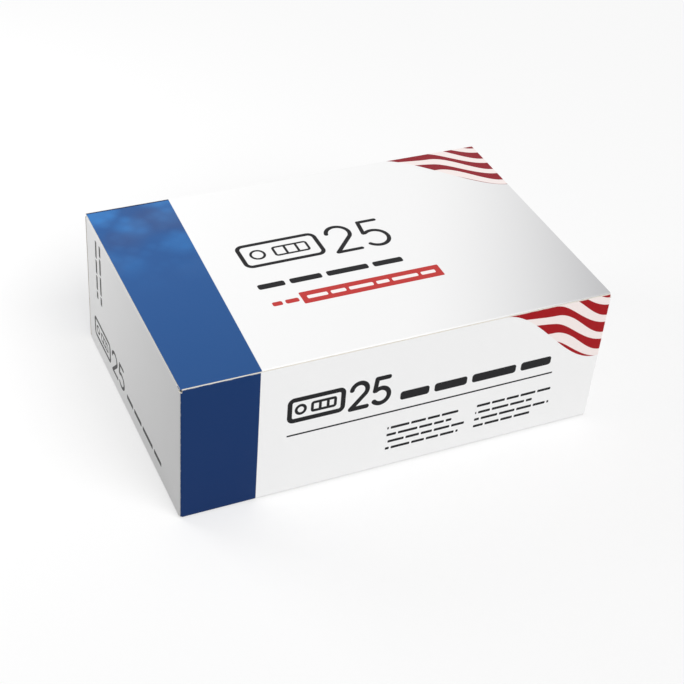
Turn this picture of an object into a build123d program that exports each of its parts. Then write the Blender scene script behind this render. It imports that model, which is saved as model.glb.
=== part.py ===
# Folding carton for a kit of rapid tests, with the kit that it holds.
# Millimetres, +Z up. The origin is the middle of the footprint, on the table.
# X runs along the long front, -Y is the front, and the lid's crease runs along the back.
from build123d import *
from math import radians, sin
import os

# Carton, outside sizes
carton_length = 200.0
carton_depth = 132.0
carton_height = 71.0

# Board
board = 0.6                 # thickness of the coated board
fold_radius = 0.6           # of the middle of the board round a crease
crease_gap = 0.05           # between the lid and the edges and flaps under it
cut_gap = 0.5               # between two edges that were cut apart

# Lid and its tuck flap
lid_side_inset = 0.3        # from the carton's ends to the lid's edges
tuck_front_gap = 0.15       # between the tuck flap's crease and the front wall
tuck_depth = 20.0
tuck_lean = 5.0             # degrees that the flap leans in, so that it swings clear of the front wall
tuck_side_inset = 2.4
tuck_corner = 9.0
slit_length = 6.0           # lock slits at both ends of the tuck flap's crease
slit_width = 0.45

# Dust flaps, under the lid
dust_length = 32.0
dust_front_gap = 0.6        # from the dust flap to the tuck flap
dust_back_gap = 1.0
dust_shoulder = 5.0         # straight stretch beside the crease, before the taper
dust_taper = 9.0            # how much each side draws in towards the tip
dust_corner = 7.0

# Glued seam inside the back left corner
seam_width = 15.0
seam_end_slope = 4.0
seam_end_gap = 2.5

# Crash-lock bottom
end_flap_length = 64.0
end_flap_side_gap = 1.2     # from the glued side to the long wall
end_flap_relief = 56.0      # how far the free side is cut back at the tip
end_flap_corner = 4.0
crease_groove_width = 0.8
crease_groove_depth = 0.15
lock_step = 12.0            # how far the seam between the long flaps steps off the centre line
lock_tongue_length = 34.0
lock_tongue_reach = 9.0     # how far a tongue lies over the other long flap
lock_tongue_root = 14.0     # how much of it lies on its own flap
lock_tongue_corner = 4.0

# Sealed foil pouches, standing in a row on their long edges
pouch_thickness = 6.0
pouch_side_gap = 0.15       # between two pouches, and at the start of the row
pouch_front_gap = 1.3       # from the tuck flap's tip to the row
pouch_back_gap = 2.4        # from the row to the back wall's glued seam
pouch_headroom = 6.0        # from the row to the dust flaps
end_room = 44.0             # past the row, for the leaflet and the bottle
pouch_corner = 2.0
seal_thickness = 0.3
end_seal = 9.0
edge_seal = 5.5
pillow_corner = 9.0
content_length = 78.0       # raised flat over the cassette in the pouch
content_height = 30.0
content_corner = 6.0
corner_step = 0.3           # how far in the middle of a cut corner lies, as a share of the cut
content_offset = 6.0        # the cassette lies towards one end, beside the dropper's bulb
tear_notch = 2.0
tear_notch_from_end = 13.0

# Instruction leaflet: one sheet, folded to and fro, standing beside the pouches
leaflet_end_gap = 3.0       # how much shorter it is than a pouch, at each end
leaflet_headroom = 9.5
leaflet_sheet = 0.2         # two thicknesses of paper, as it is folded in half first
leaflet_pitch = 0.5
leaflet_panels = 5
leaflet_gap = 0.3

# Buffer bottle with its dropper tip and screw cap
bottle_radius = 9.0
bottle_headroom = 7.8       # from the cap to the dust flap
bottle_edge = 1.5
shoulder_height = 4.5
shoulder_break = 0.8        # how far the shoulder draws in over its lower half
neck_radius = 5.2
neck_height = 7.5
neck_ring_radius = 6.6
neck_ring_height = 1.0
bottle_gap = 0.3            # from the bottle to the leaflet
bottle_from_back = 16.0     # from the bottle's axis to the back wall
tip_flange_radius = 4.9
tip_flange_height = 1.0
tip_plug_radius = 3.6
tip_plug_depth = 4.0
tip_base_radius = 3.2
tip_end_radius = 1.3
tip_height = 9.0
tip_hole_radius = 0.5
cap_radius = 7.0
cap_top_radius = 4.6
cap_skirt_height = 9.0
cap_height = 20.0
cap_running_gap = 0.25      # between the cap and the neck and tip inside it
cap_ribs = 20
cap_rib_depth = 0.5
cap_rib_width = 1.0

# Worked out from the sizes above
half_length = carton_length / 2
half_depth = carton_depth / 2
mid_board = board / 2
corner = fold_radius + mid_board            # outside radius of every fold
wall_left = -half_length + mid_board        # middle of the board in each wall
wall_front = -half_depth + mid_board
wall_back = half_depth - mid_board
lid_under = carton_height - board
dust_top = lid_under - crease_gap
dust_z = dust_top - mid_board
end_flap_z = mid_board                      # the end flaps are the outermost layer of the bottom
long_flap_z = board + mid_board             # the long flaps lie on them
tongue_z = 2 * board + mid_board            # and the tongues on those
floor_z = 2 * board
tongue_top = 3 * board
inside_top = dust_top - board
tuck_front = -half_depth + board + tuck_front_gap
lid_mid_z = carton_height - mid_board
wall_half_z = carton_height / 2
tuck_reach = tuck_front + board + tuck_depth * sin(radians(tuck_lean))
row_start = -half_length + board
row_front = tuck_reach + pouch_front_gap
row_back = half_depth - 2 * board - pouch_back_gap
pouch_pitch = pouch_thickness + pouch_side_gap
pouch_count = int((2 * -row_start - end_room) / pouch_pitch)
row_end = row_start + pouch_pitch * pouch_count + pouch_side_gap
pouch_length = row_back - row_front
pouch_height = inside_top - pouch_headroom - tongue_top
leaflet_length = pouch_length - 2 * leaflet_end_gap
leaflet_thickness = leaflet_pitch * (leaflet_panels - 1) + leaflet_sheet
leaflet_start = row_end + leaflet_gap
leaflet_end = leaflet_start + leaflet_thickness
cap_low = inside_top - bottle_headroom - cap_height - floor_z
shoulder_top = cap_low - cap_running_gap - neck_ring_height
bottle_body_height = shoulder_top - shoulder_height
neck_top = shoulder_top + neck_height


def bent_strip(points, width, plane):
    # A strip of board seen from its end as a line with folds, and drawn out to both sides.
    return extrude(plane * trace(FilletPolyline(*points, radius=fold_radius), board), width / 2, both=True)


def outline_block(points, low, high):
    # Cuts a flap to its outline, seen from above.
    return Pos(0, 0, low) * extrude(make_face(Polyline(*points, close=True)), high - low)


def rounded(block, points, radius):
    # Rounds the upright edges of a block at the given points of its outline.
    chosen = [
        edge for edge in block.edges().filter_by(Axis.Z)
        if any(abs(edge.center().X - x) + abs(edge.center().Y - y) < 0.01 for x, y in points)
    ]
    return fillet(chosen, radius)


def wall_band():
    # All four walls between the folds at the top and bottom, with the seam fold at the back left.
    low = board + corner
    high = dust_top - corner
    main = FilletPolyline(
        (wall_left, 0), (wall_left, wall_front), (-wall_left, wall_front),
        (-wall_left, wall_back), (-half_length, wall_back), radius=fold_radius)
    seam = FilletPolyline(
        (wall_left, 0), (wall_left, wall_back - board), (wall_left + 2 * corner, wall_back - board),
        radius=fold_radius)
    plan = trace(main, board) + trace(seam, board)
    return Pos(0, 0, low) * extrude(plan, high - low)


def seam_flap():
    # The flap that is glued to the inside of the back wall, with sloping ends.
    low = board + corner + seam_end_gap
    high = dust_top - corner - seam_end_gap
    start = wall_left + 2 * corner - mid_board
    end = wall_left + seam_width
    face = make_face(Polyline(
        (start, low), (end, low + seam_end_slope), (end, high - seam_end_slope), (start, high), close=True))
    return Pos(0, wall_back - mid_board, 0) * extrude(Plane.XZ * face, board)


def upper_edges():
    # The front wall's cut edge stands beside the lid, and the back wall ends under the lid's crease.
    width = carton_length - 2 * corner
    front_low = wall_half_z
    front_high = carton_height - crease_gap
    back_high = lid_under - crease_gap
    front = Pos(0, wall_front, (front_low + front_high) / 2) * Box(width, board, front_high - front_low)
    back = Pos(0, wall_back, (front_low + back_high) / 2) * Box(width, board, back_high - front_low)
    return front + back


def dust_flap():
    # Left end wall's upper half, its fold and its dust flap.
    tip = wall_left + dust_length
    strip = bent_strip(
        [(wall_left, wall_half_z), (wall_left, dust_z), (tip, dust_z)], carton_depth, Plane.XZ)
    front = tuck_front + board + dust_front_gap
    back = half_depth - board - dust_back_gap
    shoulder = wall_left + dust_shoulder
    points = [
        (-half_length, front), (shoulder, front), (tip, front + dust_taper),
        (tip, back - dust_taper), (shoulder, back), (-half_length, back)]
    block = outline_block(points, wall_half_z, carton_height)
    block = rounded(block, [(tip, front + dust_taper), (tip, back - dust_taper)], dust_corner)
    return strip & block


def end_flap():
    # Left end wall's lower half, its fold and the flap whose corner is glued under the front long flap.
    tip = wall_left + end_flap_length
    strip = bent_strip(
        [(wall_left, wall_half_z), (wall_left, end_flap_z), (tip, end_flap_z)], carton_depth, Plane.XZ)
    front = -half_depth + corner + end_flap_side_gap
    back = half_depth - corner
    points = [(-half_length, front), (tip, front), (tip, back - end_flap_relief), (-half_length + corner, back),
              (-half_length, back)]
    block = outline_block(points, 0, wall_half_z)
    block = rounded(block, [(tip, front), (tip, back - end_flap_relief)], end_flap_corner)
    groove_run = end_flap_length * 1.3
    groove = Pos(-half_length, -half_depth, 0) * Rot(0, 0, 45) * Pos(groove_run / 2 + corner * 2, 0, 0) * Box(
        groove_run, crease_groove_width, 2 * crease_groove_depth)
    return (strip & block) - groove


def long_flap():
    # Front wall's lower half, its fold and the long flap, with its deep lobe at the left.
    deep = lock_step - cut_gap / 2
    shallow = -lock_step - cut_gap / 2
    strip = bent_strip(
        [(wall_front, wall_half_z), (wall_front, long_flap_z), (deep, long_flap_z)],
        carton_length, Plane.YZ)
    side = half_length - corner
    inner = half_length - board - cut_gap
    fold_end = -half_depth + 2 * corner
    points = [
        (-side, -half_depth), (side, -half_depth), (side, fold_end), (inner, fold_end), (inner, shallow),
        (-cut_gap / 2, shallow), (-cut_gap / 2, deep), (-inner, deep), (-inner, fold_end), (-side, fold_end)]
    return strip & outline_block(points, 0, wall_half_z)


def lock_tongue():
    # The hook of the front long flap's deep lobe, which passes over the back long flap.
    low = lock_step - lock_tongue_root
    high = lock_step + lock_tongue_reach
    left = -lock_tongue_length - cut_gap
    right = -cut_gap
    points = [(left, low), (right, low), (right, high), (left, high)]
    block = outline_block(points, floor_z, tongue_top)
    return rounded(block, [(right, high), (left, high)], lock_tongue_corner)


def carton_body():
    half_bottom = end_flap() + long_flap() + lock_tongue()
    dust = dust_flap()
    body = wall_band() + upper_edges() + seam_flap()
    body += half_bottom + Rot(0, 0, 180) * half_bottom
    body += dust + mirror(dust, about=Plane.YZ)
    return body


def lid():
    # Top panel with its tuck flap. Its back edge is round, about the crease that it turns on.
    lean = Vector(0, -1).rotate(Axis.Z, tuck_lean)
    crease = Vector(wall_back, lid_mid_z)
    front_corner = Vector(tuck_front + mid_board, lid_mid_z)
    tuck_tip = front_corner + lean * tuck_depth
    width = carton_length - 2 * lid_side_inset
    section = trace(FilletPolyline(crease, front_corner, tuck_tip, radius=fold_radius), board)
    section += Pos(crease) * Circle(mid_board)
    strip = extrude(Plane.YZ * section, width / 2, both=True)
    tuck_half = half_length - tuck_side_inset
    tuck_bottom = carton_height - tuck_depth - board
    face = make_face(Polyline(
        (-half_length, carton_height), (-half_length, lid_under), (-tuck_half, lid_under),
        (-tuck_half, tuck_bottom), (tuck_half, tuck_bottom), (tuck_half, lid_under),
        (half_length, lid_under), (half_length, carton_height), close=True))
    face = fillet([v for v in face.vertices() if v.Y < tuck_bottom + 0.01], tuck_corner)
    outline = extrude(Plane.XZ * face, carton_depth, both=True)
    panel = strip & outline
    for side in (-1, 1):
        slit_start = half_length - lid_side_inset - slit_length
        panel -= Pos(side * (slit_start + slit_length), tuck_front + mid_board, lid_under - slit_width / 2) * Box(
            2 * slit_length, 3 * board, slit_width)
    return panel


def floor_height(low, high):
    # Height of the highest layer of the bottom between two places along X.
    reach = lock_tongue_length + cut_gap
    return tongue_top if low < reach and high > -reach else floor_z


def eased_corners(length, height, cut, z, offset=0.0):
    # Corners of a rectangle, each taken off by two short sides.
    x, y = length / 2, height / 2
    step = cut * corner_step
    quarter = [(x, y - cut), (x - step, y - step), (x - cut, y)]
    points = quarter + [(-a, b) for a, b in reversed(quarter)] + [(-a, -b) for a, b in quarter] + [
        (a, -b) for a, b in reversed(quarter)]
    return [(a + offset, b, z) for a, b in points]


def flat_sided(low, high):
    # Closed block between two outlines with as many corners, with a flat face along each side.
    faces = [Face(Wire.make_polygon(low)), Face(Wire.make_polygon(high))]
    for index in range(len(low)):
        after = (index + 1) % len(low)
        faces.append(Face(Wire.make_polygon([low[index], low[after], high[after], high[index]])))
    return Solid(Shell(faces))


def pouch():
    # Two sheets of foil film sealed all round, over a cassette, a dropper and a drying sachet.
    seal_half = seal_thickness / 2
    seal = Part() + flat_sided(
        eased_corners(pouch_length, pouch_height, pouch_corner, -seal_half),
        eased_corners(pouch_length, pouch_height, pouch_corner, seal_half))
    notch_x = pouch_length / 2 - tear_notch_from_end
    for side in (-1, 1):
        seal -= Pos(notch_x, side * pouch_height / 2, 0) * Rot(0, 0, 45) * Box(
            tear_notch, tear_notch, 2 * seal_thickness)
    side = flat_sided(
        eased_corners(pouch_length - 2 * end_seal, pouch_height - 2 * edge_seal, pillow_corner, seal_half),
        eased_corners(content_length, content_height, content_corner, pouch_thickness / 2, content_offset))
    body = seal + side + mirror(side, about=Plane.XY)
    return Plane.YZ * body


def place_pouch(body, index):
    left = row_start + pouch_side_gap + pouch_pitch * index
    floor = floor_height(left, left + pouch_thickness)
    return Pos(left + pouch_thickness / 2, (row_front + row_back) / 2, floor + pouch_height / 2) * body


def leaflet():
    # One sheet folded to and fro, seen from its end as a line that turns back at every fold.
    floor = floor_height(leaflet_start, leaflet_end)
    turn = leaflet_pitch / 2
    low = turn + leaflet_sheet / 2
    high = inside_top - leaflet_headroom - floor - low
    lines = []
    for panel in range(leaflet_panels):
        x = panel * leaflet_pitch
        lines.append(Line((x, low), (x, high)))
        if panel < leaflet_panels - 1:
            at_top = panel % 2 == 0
            z = high if at_top else low
            tip = z + turn if at_top else z - turn
            lines.append(ThreePointArc((x, z), (x + turn, tip), (x + leaflet_pitch, z)))
    section = trace(lines, leaflet_sheet)
    sheet = extrude(Plane.XZ * section, leaflet_length / 2, both=True)
    return Pos(leaflet_start + leaflet_sheet / 2, (row_front + row_back) / 2, floor) * sheet


def bottle_place():
    x = leaflet_end + bottle_gap + bottle_radius
    return Pos(x, half_depth - bottle_from_back, floor_height(x - bottle_radius, x + bottle_radius))


def bottle():
    # Blow-moulded bottle, full of buffer, with a collar under its thread.
    shoulder_mid = bottle_body_height + shoulder_height / 2
    profile = make_face(Polyline(
        (0, neck_top), (0, 0), (bottle_radius - bottle_edge, 0), (bottle_radius, bottle_edge),
        (bottle_radius, bottle_body_height), (bottle_radius - shoulder_break, shoulder_mid),
        (neck_radius, shoulder_top), (neck_radius, neck_top), close=True))
    body = revolve(Plane.XZ * profile, Axis.Z)
    collar = Pos(0, 0, shoulder_top + neck_ring_height / 2) * Cylinder(neck_ring_radius, neck_ring_height)
    socket = Pos(0, 0, neck_top - tip_plug_depth / 2) * Cylinder(tip_plug_radius, tip_plug_depth)
    return bottle_place() * (body + collar - socket)


def dropper_tip():
    # Plug in the neck, with a flange on its rim and a tapered nozzle.
    plug = Pos(0, 0, neck_top - tip_plug_depth / 2) * Cylinder(tip_plug_radius, tip_plug_depth)
    flange = Pos(0, 0, neck_top + tip_flange_height / 2) * Cylinder(tip_flange_radius, tip_flange_height)
    cone = Pos(0, 0, neck_top + tip_height / 2) * Cone(tip_base_radius, tip_end_radius, tip_height)
    hole = Pos(0, 0, neck_top) * Cylinder(tip_hole_radius, 2 * (tip_height + tip_plug_depth))
    return bottle_place() * (plug + flange + cone - hole)


def bottle_cap():
    # Ribbed skirt over the neck and a tapered top over the nozzle.
    skirt = Pos(0, 0, cap_low + cap_skirt_height / 2) * Cylinder(cap_radius, cap_skirt_height)
    for index in range(cap_ribs):
        skirt -= Rot(0, 0, index * 360 / cap_ribs) * Pos(cap_radius, 0, cap_low + cap_skirt_height / 2) * Box(
            2 * cap_rib_depth, cap_rib_width, cap_skirt_height)
    taper_height = cap_height - cap_skirt_height
    taper = Pos(0, 0, cap_low + cap_skirt_height + taper_height / 2) * Cone(
        cap_radius - 2 * cap_rib_depth, cap_top_radius, taper_height)
    bore_top = neck_top + tip_flange_height + cap_running_gap
    bore = Pos(0, 0, (cap_low + bore_top) / 2) * Cylinder(neck_radius + cap_running_gap, bore_top - cap_low)
    nozzle_top = neck_top + tip_height + cap_running_gap
    slope = (tip_base_radius - tip_end_radius) / tip_height
    nozzle_low_radius = tip_base_radius - slope * (bore_top - neck_top) + 2 * cap_running_gap
    nozzle_room = Pos(0, 0, (bore_top + nozzle_top) / 2) * Cone(
        nozzle_low_radius, tip_end_radius + 2 * cap_running_gap, nozzle_top - bore_top)
    return bottle_place() * (skirt + taper - bore - nozzle_room)


def write(node, shape):
    export_step(shape, f"parts/{node}.step")


os.makedirs("parts", exist_ok=True)
write("carton_body", carton_body())
write("lid", lid())
one_pouch = pouch()
for index in range(pouch_count):
    write(f"pouch_{index + 1:02d}", place_pouch(one_pouch, index))
write("leaflet", leaflet())
write("buffer_bottle", bottle())
write("dropper_tip", dropper_tip())
write("bottle_cap", bottle_cap())
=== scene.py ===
import math

import bmesh
import bpy
from mathutils import Matrix, Vector, noise
from mathutils.bvhtree import BVHTree


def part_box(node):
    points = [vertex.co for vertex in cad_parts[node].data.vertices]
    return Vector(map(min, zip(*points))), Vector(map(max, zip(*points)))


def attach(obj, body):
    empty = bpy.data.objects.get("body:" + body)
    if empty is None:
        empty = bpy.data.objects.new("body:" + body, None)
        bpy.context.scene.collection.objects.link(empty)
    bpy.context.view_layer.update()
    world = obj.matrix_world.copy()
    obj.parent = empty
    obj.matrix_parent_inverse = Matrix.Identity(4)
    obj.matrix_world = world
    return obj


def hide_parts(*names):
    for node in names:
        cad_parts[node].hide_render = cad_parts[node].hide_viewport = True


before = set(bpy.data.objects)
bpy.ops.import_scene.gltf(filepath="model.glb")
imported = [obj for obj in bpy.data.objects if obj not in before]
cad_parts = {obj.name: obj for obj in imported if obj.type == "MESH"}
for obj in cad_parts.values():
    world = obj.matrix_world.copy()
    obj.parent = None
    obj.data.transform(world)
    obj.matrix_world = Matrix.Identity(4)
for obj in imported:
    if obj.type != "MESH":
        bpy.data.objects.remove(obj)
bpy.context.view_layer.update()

halfMm = (100.0, 66.0, 35.5)        # half of the carton's length, depth and height
halfSize = Vector(half / 1000 for half in halfMm)
middle = Vector((0, 0, halfSize.z))
print("frame loaded,", len(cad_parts), "nodes")


# Camera, light and floor

shot = {
    "lens": 76.47,
    "place": (-0.24180, -0.47843, 0.44062),
    "target": (-0.00122, -0.00757, 0.02619),
    "roll": 5.03,          # degrees, the photograph leans a little
}
studio = {
    "skyLevel": 0.455,
    "whiteLevel": 0.95,    # what the camera sees behind the floor
    "keyLevel": 2.06,
    "keyFrom": (0.25, -0.70, 0.68),
    "keySoftness": 45,     # degrees
    "endLampPower": 0.55,
    "endLampPlace": (-0.32, 0.27, 0.26),
    "endLampSize": 0.22,
    "endLampTarget": (-0.1, 0, 0.035),
    "floorTone": 0.48,
    "floorGlow": 0.50,
    "floorBounce": 0.46,   # paler than this, its light would wash out the shaded end
    "floorSize": 6.0,
}


def addObject(name, data):
    made = bpy.data.objects.new(name, data)
    bpy.context.scene.collection.objects.link(made)
    return made


def addCamera():
    data = bpy.data.cameras.new("camera")
    data.lens = shot["lens"]
    data.clip_start = 0.01
    data.clip_end = 30
    eye = Vector(shot["place"])
    aim = (Vector(shot["target"]) - eye).to_track_quat("-Z", "Y").to_matrix().to_4x4()
    camera = addObject("camera", data)
    roll = Matrix.Rotation(math.radians(shot["roll"]), 4, "Z")
    camera.matrix_world = Matrix.Translation(eye) @ aim @ roll
    bpy.context.scene.camera = camera


def addLamp(name, kind, power, place, target, **settings):
    data = bpy.data.lights.new(name, kind)
    data.energy = power
    for key, value in settings.items():
        setattr(data, key, value)
    lamp = addObject(name, data)
    aim = (Vector(place) - Vector(target)).to_track_quat("Z", "Y").to_matrix().to_4x4()
    lamp.matrix_world = Matrix.Translation(Vector(place)) @ aim
    lamp.visible_camera = False


class Wiring:
    # Short calls for putting shader nodes into a tree.
    def __init__(self, tree):
        self.tree = tree

    def put(self, socket, value):
        if isinstance(value, bpy.types.NodeSocket):
            self.tree.links.new(value, socket)
        else:
            socket.default_value = value

    def feed(self, node, values):
        for key, value in values.items():
            self.put(node.inputs[key], value)

    def add(self, kind, values=None, **settings):
        made = self.tree.nodes.new(kind)
        for name, value in settings.items():
            setattr(made, name, value)
        self.feed(made, values or {})
        return made

    def calc(self, operation, *values, clamp=False):
        made = self.add("ShaderNodeMath", operation=operation, use_clamp=clamp)
        for socket, value in zip(made.inputs, values):
            self.put(socket, value)
        return made.outputs[0]

    def plus(self, first, second):
        return self.calc("ADD", first, second)

    def minus(self, first, second):
        return self.calc("SUBTRACT", first, second)

    def times(self, first, second):
        return self.calc("MULTIPLY", first, second)

    def over(self, first, second, clamp=False):
        return self.calc("DIVIDE", first, second, clamp=clamp)

    def absolute(self, value):
        return self.calc("ABSOLUTE", value)

    def diagonal(self, first, second):
        return self.calc("SQRT", self.plus(self.times(first, first), self.times(second, second)))

    def combine(self, x, y=0.0, z=0.0):
        return self.add("ShaderNodeCombineXYZ", {0: x, 1: y, 2: z}).outputs[0]

    def split(self, vector):
        return self.add("ShaderNodeSeparateXYZ", {0: vector}).outputs

    def span(self, value, low, high, toLow=0.0, toHigh=1.0, smooth=False):
        kind = "SMOOTHSTEP" if smooth else "LINEAR"
        made = self.add("ShaderNodeMapRange", {"Value": value}, interpolation_type=kind)
        self.feed(made, {"From Min": low, "From Max": high, "To Min": toLow, "To Max": toHigh})
        return made.outputs[0]

    def inked(self, distance, softness=0.12):
        return self.span(distance, -softness, softness, 1.0, 0.0, smooth=True)

    def tint(self, share, under, over):
        made = self.add("ShaderNodeMix", {0: share, 6: under, 7: over}, data_type="RGBA")
        return made.outputs[2]

    def between(self, share, first, second):
        return self.add("ShaderNodeMix", {0: share, 2: first, 3: second}, data_type="FLOAT").outputs[0]

    def least(self, values, operation="MINIMUM"):
        best = values[0]
        for value in values[1:]:
            best = self.calc(operation, best, value)
        return best

    def most(self, values):
        return self.least(values, "MAXIMUM")

    def noiseOf(self, vector, scale, detail=3.0, roughness=0.5):
        values = {"Vector": vector, "Scale": scale, "Detail": detail, "Roughness": roughness}
        return self.add("ShaderNodeTexNoise", values).outputs[0]

    def group(self, name, values):
        made = self.add("ShaderNodeGroup", node_tree=bpy.data.node_groups[name])
        self.feed(made, values)
        return made.outputs


def emptyTree(owner):
    owner.use_nodes = True
    owner.node_tree.nodes.clear()
    return Wiring(owner.node_tree)


def hexColour(text):
    # A written sRGB colour as linear numbers.
    parts = [int(text[i:i + 2], 16) / 255 for i in (0, 2, 4)]
    return tuple(p / 12.92 if p <= 0.04045 else ((p + 0.055) / 1.055) ** 2.4 for p in parts) + (1.0,)


def seenDirectly(wires):
    # 1 where the backdrop is looked at, also in a gloss, and 0 where it only gives light.
    path = wires.add("ShaderNodeLightPath").outputs
    return wires.most([path["Is Camera Ray"], path["Is Glossy Ray"], path["Is Transmission Ray"]])


def addStage():
    scene = bpy.context.scene
    scene.view_settings.view_transform = "Standard"
    world = bpy.data.worlds.new("studio")
    scene.world = world
    wires = emptyTree(world)
    level = wires.between(seenDirectly(wires), studio["skyLevel"], studio["whiteLevel"])
    back = wires.add("ShaderNodeBackground", {"Color": (1, 1, 1, 1), "Strength": level})
    wires.add("ShaderNodeOutputWorld", {"Surface": back.outputs[0]})
    softness = math.radians(studio["keySoftness"])
    addLamp("key", "SUN", studio["keyLevel"], studio["keyFrom"], (0, 0, 0), angle=softness)
    addLamp(
        "endLamp", "AREA", studio["endLampPower"], studio["endLampPlace"], studio["endLampTarget"],
        size=studio["endLampSize"])
    half = studio["floorSize"] / 2
    mesh = bpy.data.meshes.new("floor")
    corners = [(-half, -half, 0), (half, -half, 0), (half, half, 0), (-half, half, 0)]
    mesh.from_pydata(corners, [], [(0, 1, 2, 3)])
    floor = addObject("floor", mesh)
    floor.location.z = -0.00005        # a hair under the carton
    material = bpy.data.materials.new("paleFloor")
    wires = emptyTree(material)
    seen = seenDirectly(wires)
    tones = [(studio[key],) * 3 + (1.0,) for key in ("floorBounce", "floorTone")]
    matt = wires.add("ShaderNodeBsdfDiffuse", {"Color": wires.tint(seen, *tones)})
    glow = wires.add("ShaderNodeEmission", {"Strength": wires.times(seen, studio["floorGlow"])})
    both = wires.add("ShaderNodeAddShader", {0: matt.outputs[0], 1: glow.outputs[0]})
    wires.add("ShaderNodeOutputMaterial", {"Surface": both.outputs[0]})
    mesh.materials.append(material)


addCamera()
addStage()
print("camera and studio set")


# Shader groups that more than one finish uses

def shaderGroup(name, inputs, outputs=(("Distance", "value"),)):
    tree = bpy.data.node_groups.new(name, "ShaderNodeTree")
    kinds = {"value": "NodeSocketFloat", "colour": "NodeSocketColor", "vector": "NodeSocketVector"}
    for label, kind, standard in inputs:
        socket = tree.interface.new_socket(label, in_out="INPUT", socket_type=kinds[kind])
        socket.default_value = standard
    for label, kind in outputs:
        tree.interface.new_socket(label, in_out="OUTPUT", socket_type=kinds[kind])
    wires = Wiring(tree)
    return wires, wires.add("NodeGroupInput").outputs, wires.add("NodeGroupOutput").inputs


def valueInputs(*labels, **standards):
    return [(label, "value", standards.get(label.replace(" ", "_"), 0.0)) for label in labels]


def roundedDistance(w, overs, corner):
    # Distance to a round corner, from how far a point is past the straight part of each side.
    far = [w.calc("MAXIMUM", over, 0.0) for over in overs]
    length = w.diagonal(*far)
    near = w.calc("MINIMUM", w.calc("MAXIMUM", *overs), 0.0)
    return w.minus(w.plus(length, near), corner)


def makeRoundBox():
    # Distance to a rectangle with round corners, in the units of U and V.
    w, given, out = shaderGroup(
        "roundBox", valueInputs("U", "V", "Centre U", "Centre V", "Half Width", "Half Height", "Corner"))
    overs = []
    for place, centre, half in (("U", "Centre U", "Half Width"), ("V", "Centre V", "Half Height")):
        away = w.absolute(w.minus(given[place], given[centre]))
        overs.append(w.minus(away, w.minus(given[half], given["Corner"])))
    w.put(out["Distance"], roundedDistance(w, overs, given["Corner"]))


def makeStrokeLine():
    # Distance to a straight pen stroke.
    w, given, out = shaderGroup(
        "strokeLine", valueInputs("U", "V", "Start U", "Start V", "End U", "End V"))
    point = w.combine(given["U"], given["V"])
    start = w.combine(given["Start U"], given["Start V"])
    end = w.combine(given["End U"], given["End V"])

    def vec(operation, *parts):
        made = w.add("ShaderNodeVectorMath", operation=operation)
        for socket, part in zip(made.inputs, parts):
            w.put(socket, part)
        return made

    away = vec("SUBTRACT", point, start).outputs[0]
    run = vec("SUBTRACT", end, start).outputs[0]
    along = w.over(*(vec("DOT_PRODUCT", part, run).outputs["Value"] for part in (away, run)), clamp=True)
    scaled = w.add("ShaderNodeVectorMath", {0: run, "Scale": along}, operation="SCALE").outputs[0]
    w.put(out["Distance"], vec("DISTANCE", away, scaled).outputs["Value"])


def makeStrokeArc():
    # Distance to a curved pen stroke about Middle, an angle in turns of a circle.
    w, given, out = shaderGroup(
        "strokeArc", valueInputs("U", "V", "Centre U", "Centre V", "Radius", "Middle", "Spread"))
    u = w.minus(given["U"], given["Centre U"])
    v = w.minus(given["V"], given["Centre V"])
    angle = w.times(given["Middle"], 2 * math.pi)
    c, s = w.calc("COSINE", angle), w.calc("SINE", angle)
    x = w.plus(w.times(u, c), w.times(v, s))
    y = w.absolute(w.minus(w.times(v, c), w.times(u, s)))
    spread = w.times(given["Spread"], 2 * math.pi)
    length = w.diagonal(x, y)
    onArc = w.absolute(w.minus(length, given["Radius"]))
    endX = w.minus(x, w.times(given["Radius"], w.calc("COSINE", spread)))
    endY = w.minus(y, w.times(given["Radius"], w.calc("SINE", spread)))
    toEnd = w.diagonal(endX, endY)
    past = w.calc("GREATER_THAN", w.calc("ARCTAN2", y, x), spread)
    w.put(out["Distance"], w.between(past, onArc, toEnd))


def makeKitMark():
    # Line drawing of a cassette, and the plain number of tests beside it, one unit high.
    w, given, out = shaderGroup("kitMark", valueInputs("U", "V", "Stroke", Stroke=0.05))
    u, v = given["U"], given["V"]

    def frameBox(cu, cv, halfWide, halfHigh, corner):
        inside = w.group("roundBox", {
            "U": u, "V": v, "Centre U": cu, "Centre V": cv, "Half Width": halfWide, "Half Height": halfHigh,
            "Corner": corner})["Distance"]
        return w.absolute(inside)

    def line(*ends):
        keys = ("Start U", "Start V", "End U", "End V")
        return w.group("strokeLine", {"U": u, "V": v, **dict(zip(keys, ends))})["Distance"]

    def arc(cu, cv, radius, low, high):
        return w.group("strokeArc", {
            "U": u, "V": v, "Centre U": cu, "Centre V": cv, "Radius": radius,
            "Middle": (low + high) / 720, "Spread": (high - low) / 720})["Distance"]

    outline = frameBox(0.92, 0.5, 0.88, 0.38, 0.14)
    details = [
        frameBox(0.40, 0.5, 0.15, 0.15, 0.15),         # sample well
        frameBox(1.16, 0.5, 0.38, 0.15, 0.05),         # window with its two lines
        line(1.04, 0.38, 1.04, 0.62), line(1.30, 0.38, 1.30, 0.62)]
    two = [
        arc(2.34, 0.70, 0.26, -38, 170), line(2.545, 0.54, 2.07, 0.04), line(2.07, 0.04, 2.62, 0.04)]
    five = [
        line(2.92, 0.96, 3.32, 0.96), line(2.92, 0.96, 2.87, 0.53), arc(3.08, 0.31, 0.28, -140, 128)]
    heavy = w.minus(w.least([outline] + two + five), given["Stroke"])
    fine = w.minus(w.least(details), w.times(given["Stroke"], 0.6))
    w.put(out["Distance"], w.calc("MINIMUM", heavy, fine))


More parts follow.
